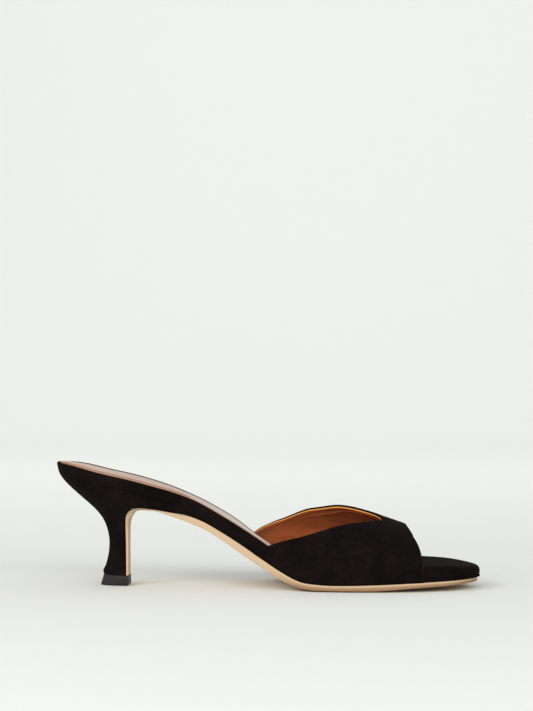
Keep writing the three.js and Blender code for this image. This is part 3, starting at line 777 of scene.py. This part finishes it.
def vamp_relief(x, across, t):
    """Main creases: a soft pull along the feather edge, where the suede was lasted, a shallow
    trough across the ball on each side, and a faint swell behind the front edge."""
    low = 1 - rise(np.minimum(across, 1 - across), 0, 0.2)
    pull = PULL_HIGH * np.sin(x * 0.62 + 1.6 * np.sin(x * 0.11)) * low * rise(x, 8, 16)
    ball = BALL_DEEP * bell(x, 44 + 20 * np.abs(across - 0.5), 8) * low
    swell = SWELL_HIGH * bell(x, 70, 6) * np.sin(math.pi * np.clip(across, 0, 1))
    return (pull - ball + swell) * rise(t, 0, 0.12) * (1 - rise(t, 0.9, 0.1))


def lining_relief(x, across, t):
    """The lining lies a little loose: a long fold under the topline on the outer side, and
    fine slanting ripples. Both fade at its edges."""
    fold = FOLD_DEEP * bell(t, 0.16 + 0.1 * np.abs(across - 0.62), 0.05)
    fold = fold * rise(across, 0.45, 0.06) * (1 - rise(across, 0.72, 0.08))
    ripple = RIPPLE_DEEP * np.abs(np.sin(0.45 * x + 5 * across + 1.3 * np.sin(0.23 * x)))
    return -(fold + ripple * rise(t, 0, 0.2) * (1 - rise(t, 0.85, 0.15)))


def make_vamp(sizes, colours):
    """Upper: the suede skin outside and the lining leather inside, each a closed shell."""
    split = WALL - sizes.suede_thick / MM
    suede = vamp_skin(sizes, split + SKIN_GAP, WALL, vamp_relief)
    solid("vamp_suede", suede, loft_faces(*suede.shape[:2]), suede_finish(colours),
          "upper")
    lining = vamp_skin(sizes, 0.0, split, lining_relief, sizes.lining_proud / MM)
    rows = sizes.vamp_rows
    # Painted highlight on the lining's cut edges: full on the topline's rounded edge, weaker beside it,
    # faint along the front edge.
    edge_highlight = np.zeros(lining.shape[:2])
    edge_highlight[:, -EDGE_POINTS:] = 1
    edge_highlight[:, 0] = edge_highlight[:, -EDGE_POINTS - 1] = 0.3
    edge_highlight[:, rows - 1:rows + EDGE_POINTS + 1] = 0.1
    solid("vamp_lining", lining, loft_faces(*lining.shape[:2]), lining_finish(colours),
          "upper", masks={"cut_edge_highlight": edge_highlight})


def even_places(edge_x, out, spacing):
    """Places across an edge that lie an even distance apart along it: the run along a dense
    line of points, read backwards."""
    dense = np.linspace(-FOOT_PLACE * 0.3, 1 + FOOT_PLACE * 0.3, 1500)
    line = last_point(edge_x(dense), dense, out)
    run = np.concatenate([[0], np.cumsum(np.linalg.norm(np.diff(line, axis=0), axis=1))])
    return np.interp(np.arange(spacing / 2, run[-1], spacing), run, dense)


def stitch_row(sizes, edge_x, away, out, sink):
    """A row of lockstitches at an even distance in from a cut edge: each is a capsule that
    lies along the seam, half sunk into the face that it holds."""
    pitch = sizes.stitch_pitch / MM
    across = even_places(edge_x, out, pitch)
    points, along, outward, off = edge_frame(across, edge_x, out, away)
    centre = points - off * sizes.stitch_inset / MM + outward * sink
    theta = np.linspace(0.12, math.pi - 0.12, STITCH_RINGS)
    phi = full_turn(STITCH_SIDES)
    lengthwise = -np.cos(theta)[None, :, None, None] * pitch * STITCH_SHARE
    girth = (THREAD_RADIUS * np.sin(theta) ** 0.6)[None, :, None, None]
    round_it = (np.cos(phi)[None, None, :, None] * outward[:, None, None, :] * THREAD_FLAT
                + np.sin(phi)[None, None, :, None] * off[:, None, None, :])
    shape = centre[:, None, None, :] + along[:, None, None, :] * lengthwise + round_it * girth
    corner = np.arange(2, STITCH_SIDES)
    tip = np.stack([0 * corner, corner - 1, corner, corner], -1)
    capsule = np.concatenate([grid_faces(STITCH_RINGS, STITCH_SIDES, closed_columns=True), tip,
                              tip + (STITCH_RINGS - 1) * STITCH_SIDES])
    steps = np.arange(len(across))[:, None, None] * STITCH_RINGS * STITCH_SIDES
    return shape.reshape(-1, 3), (capsule[None] + steps).reshape(-1, 4)


def make_stitches(sizes, colours):
    """Seams: black thread outside and brown thread inside, along the topline and the front."""
    settings = (("seam_thread_outside", WALL, -0.02, thread_finish("black_thread", colours.suede)),
                ("seam_thread_inside", 0.0, -0.03, thread_finish("brown_thread", colours.thread)))
    for name, out, sink, finish in settings:
        top = stitch_row(sizes, topline_x, -1, out, sink)
        front = stitch_row(sizes, front_x, 1, out, sink)
        points = np.concatenate([top[0], front[0]])
        faces = np.concatenate([top[1], front[1] + len(top[0])])
        solid(name, points, faces, finish, None)


def upright(table):
    """A table's columns stood up, so that they broadcast against a row of angles."""
    return {key: value[:, None] for key, value in table.items()}


def heel_rings(sizes):
    """The heel's rings, each from its breast round the inner side and the back to the outer
    side. A ring is half an ellipse behind a flat breast, drawn towards the footbed's outline as
    the rings rise; between the table's rings every point follows a cubic. The two corners of
    the lower breast are softened by passes of a mean of neighbours."""
    arcs = sizes.heel_arcs
    turn = quarter(arcs + 1)[None, :]
    ring = upright(HEEL_RINGS)
    x = lerp(ring["front_x"], ring["back_x"], np.sin(turn))
    reach = (WEDGE_FRONT_X - x) / (WEDGE_FRONT_X - ring["back_x"])
    seat_x = lerp(WEDGE_FRONT_X, BACK_X, reach)
    bottom = height(x, "bed_under") - SEAT_GAP
    z = np.minimum(bottom - 0.2, lerp(ring["front_z"], ring["back_z"], np.sin(turn)))
    z[-1] = bottom[-1]
    sides = []
    for name, sign in (("inner", -1), ("outer", 1)):
        y = lerp(sign * ring["half"] * np.cos(turn), edge_y(seat_x, name), ring["seat"])
        sides.append(np.dstack([x, y, z]))
    share = np.linspace(0, 1, BREAST_POINTS + 2)[None, 1:-1, None]
    breast = lerp(sides[1][:, :1], sides[0][:, :1], share)
    loops = np.concatenate([sides[0], sides[1][:, -2::-1], breast], 1)
    knots = np.arange(len(loops), dtype=float)
    at = np.linspace(0, knots[-1], sizes.heel_rings)
    fine = hermite(knots, loops.reshape(len(loops), -1), at).reshape(len(at), -1, 3)
    corner = np.zeros(fine.shape[1])
    for k in (0, 2 * arcs):
        corner[np.arange(k - 2, k + 3) % len(corner)] = CORNER_SOFTNESS
    low = 1 - rise(at[:, None], 5.5, 1.5)
    for _ in range(CORNER_PASSES):
        mean = (np.roll(fine, 1, 1) + np.roll(fine, -1, 1)) / 2
        fine = lerp(fine, mean, (0.5 * low * corner[None, :])[..., None])
    fine[..., 2] += lean(fine[..., 0], fine[..., 1])
    return fine


def fan_solid(loops):
    """Points and faces of a tube of loops whose ends are closed by shrinking rings."""
    def lid(ring):
        centre = ring.mean(0)
        return lerp(ring[None], centre[None, None], np.array([0.35, 0.7, 1.0])[:, None, None])
    points = np.concatenate([lid(loops[0])[::-1], loops, lid(loops[-1])])
    return points, grid_faces(*points.shape[:2], closed_columns=True)


def make_heel(sizes, colours):
    """Heel: a waisted core under a suede cover."""
    points, faces = fan_solid(heel_rings(sizes))
    solid("heel_suede", points, faces, suede_finish(colours), "heel", flat_above=60)


def make_top_piece(sizes, colours):
    """Top piece: a D-shaped lift, a little thicker behind, its corners eased and its sides
    flaring to the floor."""
    turn = quarter(LIFT_ARCS + 1)[None, :]
    ring = upright(LIFT_RINGS)
    front = LIFT_FRONT_X - ring["eased"]
    x = lerp(front, ring["back_x"], np.sin(turn))
    y = ring["half"] * np.cos(turn)
    breast = ring["half"] * np.linspace(1, -1, LIFT_BREAST_POINTS + 2)[None, 1:-1]
    x = np.hstack([x, x[:, -2::-1], front + 0 * breast])
    y = np.hstack([-y, y[:, -2::-1], breast])
    wedge = LIFT_WEDGE * (LIFT_FRONT_X - x) / LIFT_LENGTH * ring["z"] / LIFT_HEIGHT
    points, faces = fan_solid(np.dstack([x, y, ring["z"] + wedge]))
    solid("top_piece_rubber", points, faces, lift_finish(colours), "top_piece",
          flat_above=40)


# ---- stage
def make_sweep(colours):
    """A seamless sweep in metres: a flat floor, a quarter circle behind it and a high back."""
    front, depth, radius, top, half_width = -3.5, 1.5, 1.6, 6.0, 5.0
    arc = quarter(40)
    y = np.concatenate([[front, 0.0], depth + radius * np.sin(arc), [depth + radius]])
    z = np.concatenate([[0.0, 0.0], radius * (1 - np.cos(arc)), [top]])
    x = np.linspace(-half_width, half_width, 12)[:, None]
    points = np.dstack([x + 0 * y, y + 0 * x, z + 0 * x])
    faces = grid_faces(*points.shape[:2])[:, ::-1]
    mesh = bpy.data.meshes.new("sweep")
    mesh.from_pydata(points.reshape(-1, 3).tolist(), [], faces.tolist())
    mesh.shade_smooth()
    r = Recipe("sweep_paper", Specular_IOR_Level=0.1)
    speck = r.noise(60, 2, 0.5)
    # Painted light: the paper is painted a touch paler high on the sweep, standing in for more light on
    # the backdrop.
    level = r.node("ShaderNodeSeparateXYZ", None, {0: r.where}, output=2).above(0.05, 0.9)
    colour = r.colours(level, paint(colours.paper), paint(colours.lit_far_paper))
    mesh.materials.append(r.feed(Base_Color=colour, Roughness=0.9 + speck * 0.05))
    add_object("sweep", mesh)


def add_light(name, spot, target, size, power, colour=(1, 1, 1)):
    """A rectangular soft light at a spot, facing a target, its power in watts."""
    lamp = bpy.data.lights.new(name, "AREA")
    lamp.shape = "RECTANGLE"
    lamp.size, lamp.size_y = size
    lamp.energy = power
    lamp.color = colour
    add_object(name, lamp, spot, target)


def make_camera():
    """A long lens a little above the shoe, square to its inner side."""
    lens = bpy.data.cameras.new("camera")
    lens.lens = LENS
    lens.clip_end = 50
    spot, aim = place(np.array([CAMERA_SPOT, CAMERA_AIM])).tolist()
    bpy.context.scene.camera = add_object("camera", lens, spot, aim)


def make_stage(sizes, colours):
    """Pale sweep, an even sky, a key light from the left in front, a wide fill over the camera
    and a light on the backdrop."""
    make_sweep(colours)
    world = bpy.data.worlds.new("studio")
    world.use_nodes = True
    world.node_tree.nodes["Background"].inputs["Color"].default_value = (0.985, 0.99, 1.0, 1)
    world.node_tree.nodes["Background"].inputs["Strength"].default_value = sizes.sky
    bpy.context.scene.world = world
    add_light("key", spot=(-1.45, -1.15, 1.1), target=(0, 0, 0.03), size=(0.9, 0.7),
              power=sizes.key_power, colour=(1, 0.985, 0.96))
    add_light("fill", spot=(0.1, -2.0, 1.1), target=(0, 0.3, 0), size=(3.4, 1.0),
              power=sizes.fill_power)
    add_light("backdrop", spot=(0, 0.5, 1.5), target=(0, 2.9, 0.8), size=(3.6, 0.6),
              power=sizes.backdrop_power)
    bpy.context.scene.view_settings.view_transform = "Standard"
    make_camera()


# ---- add-on
def length(millimetres, name, description):
    """A length, given in millimetres and held in metres, as Blender's unit asks."""
    return FloatProperty(name=name, description=description, default=millimetres * MM, min=0.0,
                         precision=5, unit="LENGTH")


def watts(default, name, description):
    """A lamp's power."""
    return FloatProperty(name=name, description=description, default=default, min=0.0, unit="POWER")


def steps(default, name, description):
    """How many rows, columns or rings a surface has."""
    return IntProperty(name=name, description=description, default=default, min=8)


def tint(default, name, description):
    """A colour, as linear red, green and blue."""
    return FloatVectorProperty(name=name, description=description, default=default,
                               subtype="COLOR", size=3, min=0.0, max=1.0)


class MuleSizes(bpy.types.PropertyGroup):
    """Lengths, how fine each surface is, and the power of the lights."""
    suede_thick: length(1.2, "Suede", "Thickness of the vamp's suede")
    lining_proud: length(0.15, "Lining in front", "How far the lining passes the suede in front")
    sole_low_round: length(0.45, "Sole lower round", "Rounding of the outsole's lower edge")
    sole_high_round: length(0.3, "Sole upper round", "Rounding of the outsole's upper edge")
    bed_round: length(0.6, "Footbed round", "Rounding of the footbed's top edge")
    toe_round: length(2.4, "Toe round", "Rounding of the footbed's top edge at the toe")
    rim_tilt: length(0.15, "Rim tilt", "Rise of the footbed's outer rim")
    sock_round: length(1.0, "Sock round", "Roll of the sock's edge")
    sock_rise: length(0.55, "Sock rise", "How far the sock stands over the inner rim")
    pad_rise: length(0.5, "Pad rise", "Extra rise of the sock over the heel pad")
    stitch_pitch: length(1.75, "Stitch", "Length of one stitch with its gap")
    stitch_inset: length(1.9, "Seam inset", "Distance of the seam from the cut edge")
    sole_rows: steps(520, "Sole rows", "Points round the sole's rim")
    flap_rows: steps(70, "Flap rows", "Rows down the heel breast")
    bed_rows: steps(640, "Footbed rows", "Points round the footbed")
    sock_rows: steps(520, "Sock rows", "Points round the sock")
    vamp_columns: steps(230, "Vamp columns", "Places across the vamp")
    vamp_rows: steps(110, "Vamp rows", "Places along the vamp")
    heel_arcs: steps(60, "Heel arcs", "Points on each side of a heel ring")
    heel_rings: steps(200, "Heel rings", "Rings up the heel")
    key_power: watts(10, "Key light", "Power of the key light")
    fill_power: watts(35, "Fill light", "Power of the fill light")
    backdrop_power: watts(20, "Backdrop light", "Power of the light on the backdrop")
    sky: FloatProperty(name="Sky", description="Strength of the even sky", default=0.55, min=0.0)


class MuleColours(bpy.types.PropertyGroup):
    """Colours of the leathers, the thread, the rubber and the paper."""
    suede: tint((0.0062, 0.0045, 0.0042), "Suede", "Black suede of the vamp, footbed and heel")
    lining: tint((0.28, 0.068, 0.015), "Lining", "Lining leather inside the vamp")
    # Cut edge colour: the lining's paler cut edge with a painted highlight on it.
    cut_edge_highlight: tint((0.74, 0.29, 0.045), "Cut edge", "Bright cut edge of the lining")
    sock: tint((0.52, 0.31, 0.21), "Sock", "Sock leather over the footbed")
    # Sock front colour is a painted sheen: the backdrop's light reflected off the leather.
    sock_sheen: tint((0.66, 0.53, 0.48), "Sock front", "Paler forward part of the sock")
    # Sock edge colour is the tan darkened as painted shade on the rolled edge.
    sock_edge_shade: tint((0.34, 0.145, 0.065), "Sock edge", "Rolled edge of the sock")
    sole: tint((0.63, 0.45, 0.275), "Sole", "Natural sole leather")
    # Burnish colour: the lower edge's burnishing and its painted contact shadow.
    burnish_and_shade: tint((0.26, 0.14, 0.065), "Burnish", "Burnished lower edge of the sole")
    lift: tint((0.017, 0.0155, 0.0145), "Lift", "Rubber of the top piece")
    thread: tint((0.07, 0.03, 0.015), "Thread", "Sewing thread inside the vamp")
    paper: tint((0.87, 0.88, 0.845), "Paper", "Paper of the sweep")
    # Far paper colour is painted light: the backdrop a touch paler high up.
    lit_far_paper: tint((0.88, 0.89, 0.857), "Far paper", "Paper of the sweep high up")


def build(make, context):
    """What every operator does: make one piece from the scene's sizes and colours."""
    make(context.scene.mule_sizes, context.scene.mule_colours)
    return {"FINISHED"}


class MULE_OT_outsole(bpy.types.Operator):
    """Build the leather outsole and its flap down the heel breast"""
    bl_idname = "mule.outsole"
    bl_label = "Outsole"
    bl_options = {"REGISTER", "UNDO"}

    def execute(self, context):
        return build(make_outsole, context)


class MULE_OT_footbed(bpy.types.Operator):
    """Build the suede-wrapped footbed"""
    bl_idname = "mule.footbed"
    bl_label = "Footbed"
    bl_options = {"REGISTER", "UNDO"}

    def execute(self, context):
        return build(make_footbed, context)


class MULE_OT_sock(bpy.types.Operator):
    """Build the leather sock with its heel pad"""
    bl_idname = "mule.sock"
    bl_label = "Sock"
    bl_options = {"REGISTER", "UNDO"}

    def execute(self, context):
        return build(make_sock, context)


class MULE_OT_vamp(bpy.types.Operator):
    """Build the vamp's suede and its lining"""
    bl_idname = "mule.vamp"
    bl_label = "Vamp"
    bl_options = {"REGISTER", "UNDO"}

    def execute(self, context):
        return build(make_vamp, context)


class MULE_OT_stitches(bpy.types.Operator):
    """Sew the seams along the topline and the front edge"""
    bl_idname = "mule.stitches"
    bl_label = "Stitches"
    bl_options = {"REGISTER", "UNDO"}

    def execute(self, context):
        return build(make_stitches, context)


class MULE_OT_heel(bpy.types.Operator):
    """Build the suede-covered heel"""
    bl_idname = "mule.heel"
    bl_label = "Heel"
    bl_options = {"REGISTER", "UNDO"}

    def execute(self, context):
        return build(make_heel, context)


class MULE_OT_top_piece(bpy.types.Operator):
    """Build the rubber top piece"""
    bl_idname = "mule.top_piece"
    bl_label = "Top piece"
    bl_options = {"REGISTER", "UNDO"}

    def execute(self, context):
        return build(make_top_piece, context)


class MULE_OT_stage(bpy.types.Operator):
    """Build the pale sweep, the lights and the camera"""
    bl_idname = "mule.stage"
    bl_label = "Stage"
    bl_options = {"REGISTER", "UNDO"}

    def execute(self, context):
        return build(make_stage, context)


OPERATORS = (MULE_OT_outsole, MULE_OT_footbed, MULE_OT_sock, MULE_OT_vamp, MULE_OT_stitches,
             MULE_OT_heel, MULE_OT_top_piece, MULE_OT_stage)


class MULE_PT_panel(bpy.types.Panel):
    """The add-on's tab in the 3D view's sidebar"""
    bl_idname = "MULE_PT_panel"
    bl_label = "Mule"
    bl_space_type = "VIEW_3D"
    bl_region_type = "UI"
    bl_category = "Mule"

    def draw(self, context):
        for operator in OPERATORS:
            self.layout.operator(operator.bl_idname)
        for group in (context.scene.mule_sizes, context.scene.mule_colours):
            for key in group.__annotations__:
                self.layout.prop(group, key)


CLASSES = (MuleSizes, MuleColours) + OPERATORS + (MULE_PT_panel,)


def register():
    for item in CLASSES:
        bpy.utils.register_class(item)
    bpy.types.Scene.mule_sizes = PointerProperty(type=MuleSizes)
    bpy.types.Scene.mule_colours = PointerProperty(type=MuleColours)


def unregister():
    del bpy.types.Scene.mule_colours
    del bpy.types.Scene.mule_sizes
    for item in reversed(CLASSES):
        bpy.utils.unregister_class(item)


def main():
    """Builds the shoe and its stage."""
    register()
    bpy.ops.mule.outsole()
    bpy.ops.mule.footbed()
    bpy.ops.mule.sock()
    bpy.ops.mule.vamp()
    bpy.ops.mule.stitches()
    bpy.ops.mule.heel()
    bpy.ops.mule.top_piece()
    bpy.ops.mule.stage()


if __name__ == "__main__":
    main()
